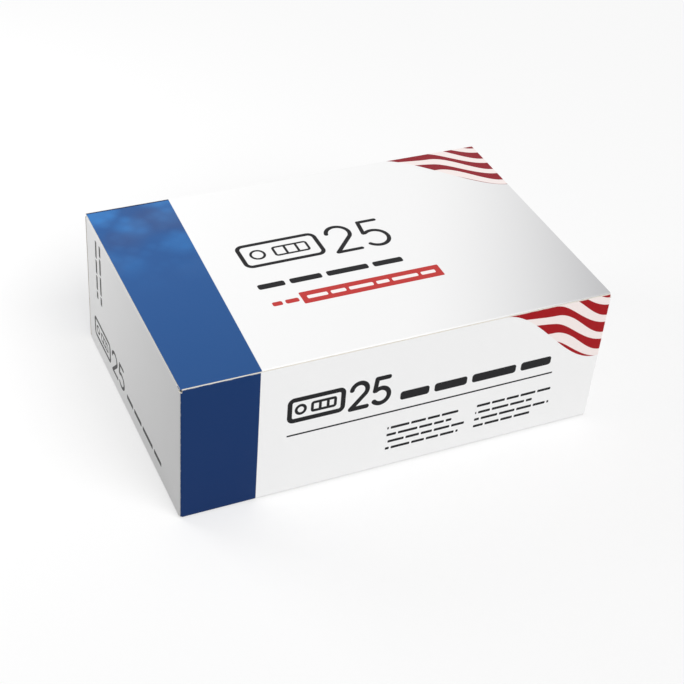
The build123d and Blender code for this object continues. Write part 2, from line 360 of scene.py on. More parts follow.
def makeGreekText():
    # Rows of plain rounded bars, which say nothing. All sizes are in the units of U and V.
    w, given, out = shaderGroup(
        "greekText",
        valueInputs("U", "V", "Width", "Rows", "Row Pitch", "Letter Height", "Letter Width", "Ragged", "Seed",
                    Rows=1.0, Row_Pitch=4.0, Letter_Height=2.0, Letter_Width=1.6),
        [("Mask", "value")])
    row = w.calc("FLOOR", w.over(given["V"], given["Row Pitch"]))
    rise = w.minus(given["V"], w.times(w.plus(row, 0.26), given["Row Pitch"]))
    shift = w.plus(w.times(row, 7.31), w.times(given["Seed"], 3.77))
    wordWidth = w.times(given["Letter Width"], 5.4)
    words = w.add(
        "ShaderNodeTexVoronoi",
        {"W": w.plus(w.over(given["U"], wordWidth), shift), "Scale": 1.0, "Randomness": 0.7},
        voronoi_dimensions="1D", feature="DISTANCE_TO_EDGE").outputs["Distance"]
    inWord = w.minus(w.times(words, wordWidth), w.times(given["Letter Width"], 0.3))
    chanceRow = w.add("ShaderNodeTexWhiteNoise", {"W": w.plus(row, given["Seed"])}, noise_dimensions="1D")
    drop = w.times(w.times(chanceRow.outputs["Value"], given["Ragged"]), given["Width"])
    toEnd = w.minus(w.minus(given["Width"], drop), given["U"])
    inBar = w.least([inWord, given["U"], toEnd])
    half = w.times(given["Letter Height"], 0.5)
    corner = w.times(given["Letter Height"], 0.3)
    overU = w.minus(corner, inBar)
    overV = w.minus(w.absolute(w.minus(rise, half)), w.minus(half, corner))
    bar = w.inked(roundedDistance(w, (overU, overV), corner), 0.09)
    for part in (
            w.calc("GREATER_THAN", row, -0.5), w.calc("LESS_THAN", row, w.minus(given["Rows"], 0.5))):
        bar = w.times(bar, part)
    w.put(out["Mask"], bar)


def makeWaveStripes():
    # Red and cream stripes that wave down into a corner, cut off by a soft curve.
    w, given, out = shaderGroup(
        "waveStripes",
        valueInputs("U", "V", "Edge", "Drop", "Low", "High", "Pitch", "Shift", "Slope", "Wave",
                    Pitch=10.2, Slope=0.16, Wave=13.0),
        [("Red", "value"), ("Patch", "value")])
    sunk = w.span(given["U"], given["Low"], given["High"], smooth=True)
    boundary = w.minus(given["Edge"], w.times(given["Drop"], sunk))
    w.put(out["Patch"], w.inked(w.minus(boundary, given["V"]), 0.15))
    lean = w.times(given["Slope"], w.minus(given["U"], 50.0))
    wave = w.times(given["Wave"], w.span(given["U"], 73.0, 99.0, smooth=True))
    level = w.plus(w.plus(given["V"], lean), w.plus(wave, given["Shift"]))
    step = w.calc("FRACT", w.over(level, given["Pitch"]))
    centred = w.absolute(w.minus(step, 0.5))
    narrow = w.absolute(w.minus(given["U"], 83.0))
    half = w.span(narrow, 0.0, 16.0, 0.19, 0.30, smooth=True)
    w.put(out["Red"], w.inked(w.times(w.minus(centred, half), given["Pitch"]), 0.15))


bandTones = {"deep": "002a5e", "pale": "2a5a97", "glow": "3a7fc4", "dusk": "3f4a73"}


def makeBandArt():
    # Blue of the end band, with soft round glows towards its back.
    inputs = valueInputs("U", "V", "Light", "Glow From", "Glow To")
    w, given, out = shaderGroup("bandArt", inputs, [("Color", "colour")])
    place = w.combine(given["U"], given["V"])
    cells = w.add(
        "ShaderNodeTexVoronoi", {"Vector": place, "Scale": 0.052, "Randomness": 0.9, "Smoothness": 0.25},
        voronoi_dimensions="2D", feature="SMOOTH_F1").outputs["Distance"]
    small = w.add(
        "ShaderNodeTexVoronoi", {"Vector": place, "Scale": 0.13, "Randomness": 1.0},
        voronoi_dimensions="2D", feature="F1").outputs["Distance"]
    blob = w.span(cells, 0.12, 0.62, 1.0, 0.0, smooth=True)
    dots = w.span(small, 0.08, 0.5, 1.0, 0.0, smooth=True)
    cloud = w.noiseOf(place, 0.035, 2.0)
    reach = w.span(given["V"], given["Glow From"], given["Glow To"], smooth=True)
    glow = w.times(reach, w.plus(w.times(blob, 0.75), w.times(dots, 0.22)))
    dusk = w.times(reach, w.span(cloud, 0.45, 0.68, smooth=True))
    base = w.tint(given["Light"], hexColour(bandTones["deep"]), hexColour(bandTones["pale"]))
    lit = w.tint(glow, base, hexColour(bandTones["glow"]))
    w.put(out["Color"], w.tint(w.times(dusk, 0.55), lit, hexColour(bandTones["dusk"])))


def makeBoardSkin():
    # Fine unevenness of coated board and the fibres of its bare side, as heights and a tone.
    w, given, out = shaderGroup(
        "boardSkin", [("Place", "vector", (0, 0, 0))] + valueInputs("Fibre", Fibre=0.2),
        [("Height", "value"), ("Tone", "value")])
    fine = w.noiseOf(given["Place"], 900.0, 3.0, 0.6)
    broad = w.noiseOf(given["Place"], 60.0, 2.0, 0.5)
    stretch = w.add("ShaderNodeMapping", {"Vector": given["Place"], "Scale": (260.0, 2400.0, 2400.0)})
    fibres = w.noiseOf(stretch.outputs[0], 1.0, 4.0, 0.7)
    mixed = w.between(given["Fibre"], fine, fibres)
    w.put(out["Height"], w.plus(w.times(mixed, 0.7), w.times(broad, 0.6)))
    w.put(out["Tone"], w.span(fibres, 0.35, 0.75))


def makeFoldRubAndHighlight():
    # Along the folds of the carton: the coating rubbed thin, and a painted highlight.
    w, given, out = shaderGroup(
        "foldRubAndHighlight", [("Place", "vector", (0, 0, 0))] + valueInputs("Reach", Reach=0.9), [("Mask", "value")])
    sides = []
    for value, centre, half in zip(w.split(given["Place"]), (0.0, 0.0, halfMm[2]), halfMm):
        sides.append(w.minus(half, w.absolute(w.minus(value, centre))))
    low = w.calc("MINIMUM", sides[0], sides[1])
    high = w.calc("MAXIMUM", sides[0], sides[1])
    second = w.calc("MAXIMUM", low, w.calc("MINIMUM", high, sides[2]))
    worn = w.noiseOf(given["Place"], 0.35, 5.0, 0.65)
    reach = w.times(given["Reach"], w.span(worn, 0.38, 0.72, 0.25, 1.5))
    w.put(out["Mask"], w.minus(1.0, w.over(second, reach, clamp=True)))


for makeGroup in (makeRoundBox, makeStrokeLine, makeStrokeArc, makeKitMark, makeGreekText, makeWaveStripes,
                  makeBandArt, makeBoardSkin, makeFoldRubAndHighlight):
    makeGroup()
print("shader groups built")


# Board finishes

board = {
    "coatTone": "f9f9f9",
    "paintedShadeGrey": "bfbfc1",      # painted shade: the lid's white fades to this grey towards its front right corner
    "endPaintedShadeGrey": "dedede",       # painted shade: the end's white darkens to this towards the front
    "creasePaintedShadow": "10183a",     # painted shadow: the band is darkened along the lid's back crease
    "bandPlain": "0c3468",     # on the sides that the photograph doesn't show
    "bandOnTuck": "1c4a86",
    # coating rubbed thin along the folds, with a painted highlight there
    "rubAndHighlightTone": "f4f2ee",
    "innerTone": "e0ded8",
    "innerFibre": "cfcac0",
    "cutTone": "e9e5dc",
    "cutFibre": "d8d2c5",
    "inkTone": "141417",
    "stripeRed": "8f1a26",
    "frontRed": "a20310",
    "cream": "fbefec",
    "barRed": "c23a38",
    "barPale": "fdf6f5",
    "bandBackEdge": -60.5,     # mm along the front, at the back of the lid
    "bandFrontEdge": -65.2,    # and at its front
    "bandOnFront": -66.0,
    "roughness": 0.42,
    "gloss": 0.16,             # low, so that the dark ink stays dark
    "rubAndHighlightReach": 0.5,           # mm from each fold
    "rubAndHighlightShare": 0.55,
}


def boardTone(key):
    return hexColour(board[key])


def newMaterial(name):
    material = bpy.data.materials.new(name)
    wires = emptyTree(material)
    shader = wires.add("ShaderNodeBsdfPrincipled")
    wires.add("ShaderNodeOutputMaterial", {"Surface": shader.outputs[0]})
    place = wires.add("ShaderNodeTexCoord").outputs["Object"]
    return material, wires, shader, place


def addBump(w, shader, height, strength, distance):
    bump = w.add("ShaderNodeBump", {"Height": height, "Strength": strength, "Distance": distance})
    w.put(shader.inputs["Normal"], bump.outputs[0])


def millimetres(wires, place):
    return wires.add("ShaderNodeVectorMath", {0: place, "Scale": 1000.0}, operation="SCALE").outputs[0]


def greek(w, u, v, left, low, width, height, letter, rows=1.0, pitch=None, ragged=0.0, seed=1.0):
    pitch = pitch or height * 1.9
    return w.group("greekText", {
        "U": w.minus(u, left), "V": w.minus(v, low - pitch * 0.26), "Width": width,
        "Rows": rows, "Row Pitch": pitch, "Letter Height": height, "Letter Width": letter, "Ragged": ragged,
        "Seed": seed})["Mask"]


def kitMark(w, u, v, left, low, height, stroke, wide=1.0):
    distance = w.group("kitMark", {
        "U": w.over(w.minus(u, left), height * wide),
        "V": w.over(w.minus(v, low), height), "Stroke": stroke / height / 2})["Distance"]
    return w.inked(distance, 0.12 / height)


def boxMask(w, u, v, box, corner=0.3):
    left, low, right, high = box
    distance = w.group("roundBox", {
        "U": u, "V": v, "Centre U": (left + right) / 2, "Centre V": (low + high) / 2,
        "Half Width": (right - left) / 2, "Half Height": (high - low) / 2, "Corner": corner})["Distance"]
    return w.inked(distance)


def wordBars(w, u, v, left, low, height, lengths, gap):
    # One line of rounded bars with chosen lengths.
    bars = []
    for length in lengths:
        bars.append(boxMask(w, u, v, (left, low, left + length, low + height), height * 0.3))
        left += length + gap
    return w.most(bars)


def withStripes(w, colour, red, sizes):
    stripes = w.group("waveStripes", sizes)
    colour = w.tint(stripes["Patch"], colour, boardTone("cream"))
    return w.tint(w.times(stripes["Patch"], stripes["Red"]), colour, boardTone(red))


def topPrint(w, place):
    x, y, _ = w.split(place)
    paper = boardTone("coatTone")
    edge = w.span(y, -66.0, 66.0, board["bandFrontEdge"], board["bandBackEdge"])
    band = w.inked(w.minus(x, edge))
    light = w.span(y, -66.0, 40.0, 0.72, 1.0)
    art = w.group("bandArt", {"U": x, "V": y, "Light": light, "Glow From": -5.0, "Glow To": 62.0})["Color"]
    # Painted shade: the white darkens towards the lid's front right corner.
    toCorner = w.minus(x, w.times(y, 0.515))
    shade = w.calc("POWER", w.span(toCorner, 30.0, 136.0), 1.7)
    paper = w.tint(shade, paper, boardTone("paintedShadeGrey"))
    # Painted shadow: the band darkens along the lid's back crease.
    art = w.tint(w.span(y, 64.6, 65.4), art, boardTone("creasePaintedShadow"))
    colour = w.tint(band, paper, art)
    colour = withStripes(w, colour, "stripeRed", {
        "U": x, "V": y, "Edge": 67.0, "Drop": 38.5, "Low": 46.0, "High": 102.0, "Pitch": 10.2, "Shift": -1.0})
    ink = w.most([
        kitMark(w, x, y, -46.0, 0.0, 21.0, 2.0),
        wordBars(w, x, y, -46.5, -14.4, 3.6, (12.5, 15.0, 20.0, 14.5), 2.4)])
    colour = w.tint(ink, colour, boardTone("inkTone"))
    red = w.most([
        boxMask(w, x, y, (-31.5, -29.6, 35.6, -21.4), 0.6),
        wordBars(w, x, y, -45.0, -27.2, 2.8, (4.6, 6.2), 1.4)])
    colour = w.tint(red, colour, boardTone("barRed"))
    small = wordBars(w, x, y, -28.8, -26.6, 2.2, (9.5, 7.0, 11.5, 6.0, 12.5, 7.0), 1.6)
    return w.tint(small, colour, boardTone("barPale"))


def frontPrint(w, place):
    x, _, z = w.split(place)
    paper = boardTone("coatTone")
    band = w.inked(w.minus(x, board["bandOnFront"]))
    light = w.span(z, 0.0, 71.0, 0.0, 0.1)
    art = w.group("bandArt", {"U": x, "V": z, "Light": light, "Glow From": 400.0, "Glow To": 500.0})["Color"]
    colour = w.tint(band, paper, art)
    colour = withStripes(w, colour, "frontRed", {
        "U": x, "V": z, "Edge": 71.0, "Drop": 34.2, "Low": 46.0, "High": 98.0, "Pitch": 9.6, "Shift": 1.2,
        "Slope": 0.12, "Wave": 12.0})
    ink = w.most([
        kitMark(w, x, z, -53.0, 39.0, 14.8, 2.4, 0.93),
        wordBars(w, x, z, -1.0, 38.2, 4.7, (14.0, 16.0, 22.0, 15.5), 2.5),
        boxMask(w, x, z, (-53.2, 32.4, 76.0, 33.3), 0.1),
        greek(w, x, z, -5.5, 10.6, 40.0, 1.45, 1.5, rows=4.0, pitch=4.0, ragged=0.25, seed=11.0),
        greek(w, x, z, 38.5, 10.6, 39.0, 1.45, 1.5, rows=4.0, pitch=4.0, ragged=0.3, seed=17.0)])
    return w.tint(ink, colour, boardTone("inkTone"))


def endPrint(w, place):
    _, y, z = w.split(place)
    along = w.times(y, -1.0)
    ink = w.most([
        kitMark(w, along, z, -57.0, 8.0, 13.0, 1.7, 1.05),
        wordBars(w, along, z, -7.0, 8.4, 2.5, (9.0, 10.5, 14.0, 10.0), 1.7),
        greek(w, z, y, 34.0, 43.0, 34.0, 2.2, 1.8, rows=2.0, pitch=6.0, ragged=0.1, seed=21.0)])
    # Painted shade: the end's white darkens towards the front.
    shade = w.span(along, -50.0, 66.0)
    paper = w.tint(shade, boardTone("coatTone"), boardTone("endPaintedShadeGrey"))
    return w.tint(ink, paper, boardTone("inkTone"))


def plainPrint(w, place):
    # Sides that the photograph doesn't show: the band goes round plainly, and the rest is white.
    x, y, _ = w.split(place)
    edge = w.span(y, -66.0, 66.0, board["bandOnFront"], board["bandBackEdge"])
    band = w.times(w.inked(w.minus(x, edge)), w.calc("GREATER_THAN", x, -99.6))
    return w.tint(band, boardTone("coatTone"), boardTone("bandPlain"))


def flapPrint(w, place):
    # Flaps under the lid are white, and only the tuck flap has a little of the band past its crease.
    x, y, z = w.split(place)
    pastCrease = w.calc("GREATER_THAN", z, 65.5)
    band = w.times(w.inked(w.minus(x, board["bandFrontEdge"])), pastCrease)
    onTuck = w.times(band, w.calc("LESS_THAN", y, -62.0))
    return w.tint(onTuck, boardTone("coatTone"), boardTone("bandOnTuck"))


def coatedBoard(name, artwork):
    material, w, shader, place = newMaterial(name)
    metric = millimetres(w, place)
    skin = w.group("boardSkin", {"Place": place, "Fibre": 0.0})
    # Rubbed coating and painted highlight along the folds.
    rubAndHighlight = w.group("foldRubAndHighlight", {"Place": metric, "Reach": board["rubAndHighlightReach"]})["Mask"]
    colour = w.tint(w.times(rubAndHighlight, board["rubAndHighlightShare"]), artwork(w, metric), boardTone("rubAndHighlightTone"))
    w.put(shader.inputs["Base Color"], colour)
    rough = board["roughness"]
    w.put(shader.inputs["Roughness"], w.span(skin["Height"], 0.3, 0.9, rough - 0.05, rough + 0.06))
    addBump(w, shader, skin["Height"], 0.10, 0.00012)
    shader.inputs["Specular IOR Level"].default_value = board["gloss"]
    return material


def bareBoard(name, tone, dark, fibre, bumpStrength):
    material, w, shader, place = newMaterial(name)
    skin = w.group("boardSkin", {"Place": place, "Fibre": fibre})
    w.put(shader.inputs["Base Color"], w.tint(skin["Tone"], tone, dark))
    w.feed(shader, {"Roughness": 0.85, "Specular IOR Level": 0.25})
    addBump(w, shader, skin["Height"], bumpStrength, 0.00015)
    return material


boardFinishes = {
    "top": coatedBoard("printedTop", topPrint),
    "front": coatedBoard("printedFront", frontPrint),
    "end": coatedBoard("printedEnd", endPrint),
    "plain": coatedBoard("printedPlain", plainPrint),
    "flap": coatedBoard("printedFlap", flapPrint),
    "inner": bareBoard("bareInside", boardTone("innerTone"), boardTone("innerFibre"), 0.8, 0.5),
    "cut": bareBoard("cutEdge", boardTone("cutTone"), boardTone("cutFibre"), 0.9, 0.6),
}
print("board finishes made")


# Carton and lid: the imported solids, with panels that bow a little and a face of print for each side

shell = {
    "loopStep": 0.0115,        # between the cuts that let a panel bow
    "foldLoop": 0.0016,        # and the first cut from each fold
    "bow": 0.00028,
    "lidBow": 0.00035,
    "smoothAngle": 32,
    "thickest": 0.0025,        # anything thicker, seen from its face, is a cut edge
    "lidLevel": 0.0702,        # the lid's panel is above this
    "wallTop": 0.0705,
    "flapLevel": 0.068,
    "wallFace": 0.0645,        # the front and back walls are past this, from the middle
    "frontFace": 0.065,
    "endFace": 0.0988,
    "endBowFace": 0.0990,
}


def loopPlaces(half):
    inner = half - shell["foldLoop"]
    count = max(2, round(2 * inner / shell["loopStep"]))
    return [-inner + 2 * inner * i / count for i in range(count + 1)]


def outwardFrom(point):
    # From the carton's inside to a point of its board.
    room = halfSize - Vector((0.004, 0.004, 0.004))
    local = point - middle
    inner = Vector(max(-r, min(r, value)) for r, value in zip(room, local))
    return local - inner


def arc(value, half):
    return math.cos(min(1.0, abs(value) / half) * math.pi / 2)


def bowed(point, lidPiece):
    # Every wall bulges by a hair between its folds.
    local = point - middle
    push = Vector((0, 0, 0))
    arcX, arcY, arcZ = (arc(value, half / 1000) for value, half in zip(local, halfMm))
    if lidPiece:
        if point.z > shell["lidLevel"]:
            push.z = shell["lidBow"] * arcX * arcY
        return point + push
    if abs(local.y) > shell["wallFace"] and point.z < shell["wallTop"]:
        push.y = math.copysign(shell["bow"], local.y) * arcX * arcZ
    if abs(local.x) > shell["endBowFace"]:
        push.x = math.copysign(shell["bow"] * 0.8, local.x) * arcY * arcZ
    return point + push


def faceFinish(face, tree, lidPiece):
    centre = face.calc_center_median()
    normal = face.normal
    hit = tree.ray_cast(centre - normal * 0.00002, -normal)
    if hit[0] is not None and hit[3] > shell["thickest"]:
        return "cut"
    if normal.dot(outwardFrom(centre)) <= 0:
        return "inner"
    if lidPiece:
        return "top" if normal.z > 0.4 and centre.z > shell["lidLevel"] else "flap"
    if normal.z > 0.6 and centre.z > shell["flapLevel"]:
        return "flap"
    if normal.y < -0.7 and centre.y < -shell["frontFace"]:
        return "front"
    if normal.x < -0.7 and centre.x < -shell["endFace"]:
        return "end"
    return "plain"


def boardShell(name, node, body, lidPiece):
    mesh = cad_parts[node].data.copy()
    mesh.name = name
    piece = addObject(name, mesh)
    work = bmesh.new()
    work.from_mesh(mesh)
    bmesh.ops.remove_doubles(work, verts=work.verts, dist=0.000002)
    bmesh.ops.dissolve_limit(work, angle_limit=math.radians(0.4), verts=work.verts, edges=work.edges)
    for axis, half in enumerate(halfSize):
        for place in loopPlaces(half):
            direction = Vector((0, 0, 0))
            direction[axis] = 1
            bmesh.ops.bisect_plane(
                work, geom=work.verts[:] + work.edges[:] + work.faces[:], dist=0.0000005,
                plane_co=middle + direction * place, plane_no=direction)
    bmesh.ops.triangulate(work, faces=work.faces[:], quad_method="BEAUTY", ngon_method="BEAUTY")
    work.normal_update()
    tree = BVHTree.FromBMesh(work)
    kinds = ["top", "flap", "inner", "cut"] if lidPiece else ["front", "end", "plain", "flap", "inner", "cut"]
    for face in work.faces:
        face.material_index = kinds.index(faceFinish(face, tree, lidPiece))
        face.smooth = True
    for vertex in work.verts:
        vertex.co = bowed(vertex.co, lidPiece)
    mesh.materials.clear()
    for kind in kinds:
        mesh.materials.append(boardFinishes[kind])
    work.to_mesh(mesh)
    work.free()
    mesh.set_sharp_from_angle(angle=math.radians(shell["smoothAngle"]))
    weighted = piece.modifiers.new("weighted", "WEIGHTED_NORMAL")
    weighted.keep_sharp = True
    weighted.weight = 90
    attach(piece, body)
    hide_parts(node)
    print(name, len(mesh.polygons), "triangles")
    return piece


boardShell("carton_shell", "carton_body", "carton", False)
boardShell("lid_shell", "lid", "lid", True)


def finishPiece(name, points, faces, material, body, nodes=(), angle=35, marks=None):
    mesh = bpy.data.meshes.new(name)
    mesh.from_pydata(points, [], faces)
    if marks:
        layer = mesh.uv_layers.new(name="sheet")
        for loop in mesh.loops:
            layer.data[loop.index].uv = marks[loop.vertex_index]
    work = bmesh.new()
    work.from_mesh(mesh)
    bmesh.ops.recalc_face_normals(work, faces=work.faces[:])
    for face in work.faces:
        face.smooth = True
    work.to_mesh(mesh)
    work.free()
    mesh.materials.append(material)
    mesh.set_sharp_from_angle(angle=math.radians(angle))
    piece = addObject(name, mesh)
    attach(piece, body)
    if nodes:
        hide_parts(*nodes)
    return piece


def lathe(profile, segments, axis, closed=False):
    # Rings about an upright axis. A closed profile also joins its last ring to its first.
    points, faces, rings = [], [], []
    for radius, height in profile:
        if radius < 1e-7:
            rings.append([len(points)] * segments)
            points.append((axis[0], axis[1], axis[2] + height))
            continue
        rings.append(list(range(len(points), len(points) + segments)))
        for i in range(segments):
            angle = 2 * math.pi * i / segments
            points.append((
                axis[0] + radius * math.cos(angle), axis[1] + radius * math.sin(angle), axis[2] + height))
    pairs = list(zip(rings, rings[1:]))
    if closed:
        pairs.append((rings[-1], rings[0]))
    for low, high in pairs:
        for i in range(segments):
            j = (i + 1) % segments
            corners = [low[i], low[j], high[j], high[i]]
            face = [c for n, c in enumerate(corners) if c not in corners[:n]]
            if len(face) > 2:
                faces.append(face)
    return points, faces


# Foil pouches

pouch = {
    "seal": 0.0003,            # thickness of the two films at the rim
    "endSeal": 0.009,
    "edgeSeal": 0.0055,
    "contentHalf": (0.039, 0.015),
    "contentShift": 0.006,
    "cassetteHalf": (0.0345, 0.0100),
    "crinkle": 0.00055,        # depth of the crumples
    "rimWave": 0.0011,
    "notch": 0.0015,           # to tear the pouch open at
    "notchFromEnd": 0.013,
    "corner": 0.0020,
    "step": 0.0021,
    "crimpPitch": 1.1,         # mm between the lines pressed into the seals
    "foilTone": (0.88, 0.89, 0.91, 1.0),
    "foilShade": (0.78, 0.79, 0.82, 1.0),
    "roughness": 0.30,
}


def gridPlaces(half, wanted, step):
    # Even places from -half to half, with the wanted ones among them.
    count = round(2 * half / step)
    even = [-half + 2 * half * i / count for i in range(count + 1)]
    kept = [place for place in even if all(abs(place - want) > step * 0.3 for want in wanted)]
    return sorted(kept + list(wanted))


def ease(value):
    value = max(0.0, min(1.0, value))
    return value * value * (3 - 2 * value)


def filmHeight(u, v, halfLength, halfHeight, halfThick, seed):
    # How far the film stands from the middle of the pouch, and how near the rim the point is.
    baseU, baseV = halfLength - pouch["endSeal"], halfHeight - pouch["edgeSeal"]
    edgeU = pouch["contentHalf"][0] + math.copysign(pouch["contentShift"], u)
    risenU = (baseU - abs(u)) / (baseU - edgeU)
    risenV = (baseV - abs(v)) / (baseV - pouch["contentHalf"][1])
    flat = min(1.0, risenU, risenV)
    if flat <= 0:
        return pouch["seal"] / 2, 1.0
    shared = 1.0
    for risen in (risenU, risenV):
        shared *= 1 - max(0.0, 1 - max(0.0, risen)) ** 2
    risen = 0.55 * ease(flat) + 0.45 * min(1.0, shared * 1.02)
    halfU, halfV = pouch["cassetteHalf"]
    pastTray = Vector((abs(u - pouch["contentShift"]) - halfU, abs(v) - halfV))
    tray = ease(1 - max(pastTray) / 0.004)
    fullness = 0.84 + 0.16 * tray
    folds = 0.0
    for scale, share in ((55.0, 0.5), (120.0, 0.32), (260.0, 0.18)):
        folds += share * abs(noise.noise(Vector((u * scale, v * scale * 1.3, seed * 7.7)))) * 2
    slope = 4 * risen * (1 - risen)
    dent = pouch["crinkle"] * folds * (0.35 + 1.6 * slope) * min(1.0, flat * 6)
    height = pouch["seal"] / 2 + (halfThick - pouch["seal"] / 2) * risen * fullness - dent
    return max(pouch["seal"] / 2, height), 1 - ease(flat * 1.6)


def makePouch(node, number, material):
    low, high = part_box(node)
    centre = (low + high) / 2
    half = (high - low) / 2
    notchAt = half.y - pouch["notchFromEnd"]
    width, corner = pouch["notch"], pouch["corner"]

    def cornerPlaces(end):
        return [-end + corner * 0.4, end - corner * 0.4, -end + corner, end - corner]

    notch = [notchAt - width, notchAt, notchAt + width]
    columns = gridPlaces(half.y, cornerPlaces(half.y) + notch, pouch["step"])
    rows = gridPlaces(half.z, cornerPlaces(half.z), pouch["step"])
    points, marks, faces = [], [], []
    wide, tall = len(columns), len(rows)
    for side in (1, -1):
        for j, v in enumerate(rows):
            for i, u in enumerate(columns):
                atU, atV = u, v
                if j in (0, tall - 1) and abs(u - notchAt) < 1e-6:
                    atV -= math.copysign(width, v)
                overU = abs(u) - (half.y - corner)
                overV = abs(v) - (half.z - corner)
                if overU > 0 and overV > 0:
                    reach = max(overU, overV) / math.hypot(overU, overV)
                    atU = math.copysign(half.y - corner + overU * reach, u)
                    atV = math.copysign(half.z - corner + overV * reach, v)
                film, rim = filmHeight(u, v, half.y, half.z, half.x, number + (0.5 if side > 0 else 0.0))
                wave = noise.noise(Vector((u * 22.0, v * 30.0, number * 3.1)))
                lean = noise.noise(Vector((number * 1.7, v * 9.0, 4.0)))
                bend = pouch["rimWave"] * rim * (wave * 1.4 + lean)
                points.append((centre.x + side * film + bend, centre.y + atU, centre.z + atV))
                marks.append((u / (2 * half.y) + 0.5, v / (2 * half.z) + 0.5))
    sheet = wide * tall
    for j in range(tall - 1):
        for i in range(wide - 1):
            a = j * wide + i
            quad = (a, a + 1, a + wide + 1, a + wide)
            faces.append(quad)
            faces.append(tuple(sheet + c for c in reversed(quad)))
    rim = list(range(wide)) + [j * wide + wide - 1 for j in range(1, tall)]
    rim += [(tall - 1) * wide + i for i in range(wide - 2, -1, -1)]
    rim += [j * wide for j in range(tall - 2, 0, -1)]
    for a, b in zip(rim, rim[1:] + rim[:1]):
        faces.append((a, a + sheet, b + sheet, b))
    return finishPiece(f"foil_{node}", points, faces, material, "carton", [node], 50, marks)


def makeFoil():
    # Satin aluminium laminate: fine crumples, and crimped lines pressed into the seals.
    material, w, shader, place = newMaterial("foilLaminate")
    low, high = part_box("pouch_01")
    length, height = (high.y - low.y) * 1000, (high.z - low.z) * 1000
    u, v, _ = w.split(w.add("ShaderNodeUVMap", uv_map="sheet").outputs[0])
    across = w.times(w.minus(u, 0.5), length)
    upward = w.times(w.minus(v, 0.5), height)
    ends = w.span(w.absolute(across), length / 2 - 8.6, length / 2 - 8.2)
    edges = w.span(w.absolute(upward), height / 2 - 5.1, height / 2 - 4.7)
    crimp = []
    for value, mask in ((across, ends), (upward, edges)):
        wave = w.calc("SINE", w.times(value, 2 * math.pi / pouch["crimpPitch"]))
        crimp.append(w.times(wave, mask))
    crumple = w.noiseOf(place, 170.0, 5.0, 0.62)
    ridges = w.add(
        "ShaderNodeTexVoronoi", {"Vector": place, "Scale": 210.0, "Randomness": 1.0},
        feature="DISTANCE_TO_EDGE").outputs["Distance"]
    creases = w.span(ridges, 0.0, 0.16, smooth=True)
    relief = w.plus(w.times(crumple, 1.1), w.times(creases, 0.22))
    relief = w.plus(relief, w.times(w.plus(crimp[0], crimp[1]), 0.16))
    addBump(w, shader, relief, 0.6, 0.0007)
    dull = w.noiseOf(place, 30.0, 2.0)
    tone = w.tint(w.span(dull, 0.35, 0.7), pouch["foilTone"], pouch["foilShade"])
    w.put(shader.inputs["Base Color"], tone)
    rough = pouch["roughness"]
    w.put(shader.inputs["Roughness"], w.span(dull, 0.3, 0.75, rough - 0.06, rough + 0.1))
    shader.inputs["Metallic"].default_value = 0.85
    return material


foil = makeFoil()
pouchNodes = sorted(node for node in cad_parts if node.startswith("pouch_"))
for number, node in enumerate(pouchNodes):
    makePouch(node, number, foil)
print(len(pouchNodes), "pouches filled and sealed")


# Leaflet: one long sheet folded to and fro

paper = {
    "sheet": 0.00020,          # thickness of the doubled paper
    "panels": 5,
    "panelSteps": 8,
    "turnSteps": 6,
    "slice": 0.004,
    "sway": 0.00012,
    "tone": "f3f2ec",
    "shade": "e4e2d8",
    "ink": "6a6a70",
    "foldClear": 5.0,          # mm that the rows of print keep from each fold
}


def foldedLine(low, high):
    # Middle line of the sheet, seen from its end, going up and down between two heights.
    pitch = (high.x - low.x - paper["sheet"]) / (paper["panels"] - 1)
    turn = pitch / 2
    bottom = low.z + turn + paper["sheet"] / 2
    top = high.z - turn - paper["sheet"] / 2
    line = []
    for panel in range(paper["panels"]):
        x = low.x + paper["sheet"] / 2 + panel * pitch
        rising = panel % 2 == 0
        start, end = (bottom, top) if rising else (top, bottom)
        steps = paper["panelSteps"]
        line += [(x, start + (end - start) * i / steps) for i in range(steps + 1)]
        if panel < paper["panels"] - 1:
            for i in range(1, paper["turnSteps"]):
                angle = math.pi * i / paper["turnSteps"]
                rise = turn * math.sin(angle) * (1 if rising else -1)
                line.append((x + turn * (1 - math.cos(angle)), end + rise))
    return line


def makeLeaflet(material):
    low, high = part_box("leaflet")
    line = foldedLine(low, high)
    run, lengths = 0.0, [0.0]
    for a, b in zip(line, line[1:]):
        run += math.dist(a, b)
        lengths.append(run)
    slices = round((high.y - low.y) / paper["slice"])
    points, marks, faces = [], [], []
    count = len(line)
    for s in range(slices + 1):
        y = low.y + (high.y - low.y) * s / slices
        sway = paper["sway"] * math.sin(y * 61.0) * math.sin(math.pi * s / slices)
        for side in (1, -1):
            for i, (x, z) in enumerate(line):
                before, after = line[max(0, i - 1)], line[min(count - 1, i + 1)]
                run = Vector((after[0] - before[0], after[1] - before[1])).normalized()
                off = side * paper["sheet"] / 2
                points.append((x - run.y * off + sway, y, z + run.x * off))
                marks.append((y, lengths[i]))
    ring = 2 * count
    outline = list(range(count)) + [count + i for i in reversed(range(count))]
    for s in range(slices):
        for a, b in zip(outline, outline[1:] + outline[:1]):
            faces.append((s * ring + a, s * ring + b, (s + 1) * ring + b, (s + 1) * ring + a))
    for s in (0, slices):
        for i in range(count - 1):
            faces.append((s * ring + i, s * ring + i + 1, s * ring + count + i + 1, s * ring + count + i))
    return finishPiece(
        "leaflet_sheet", points, faces, material, "carton", ["leaflet"], 60, marks)


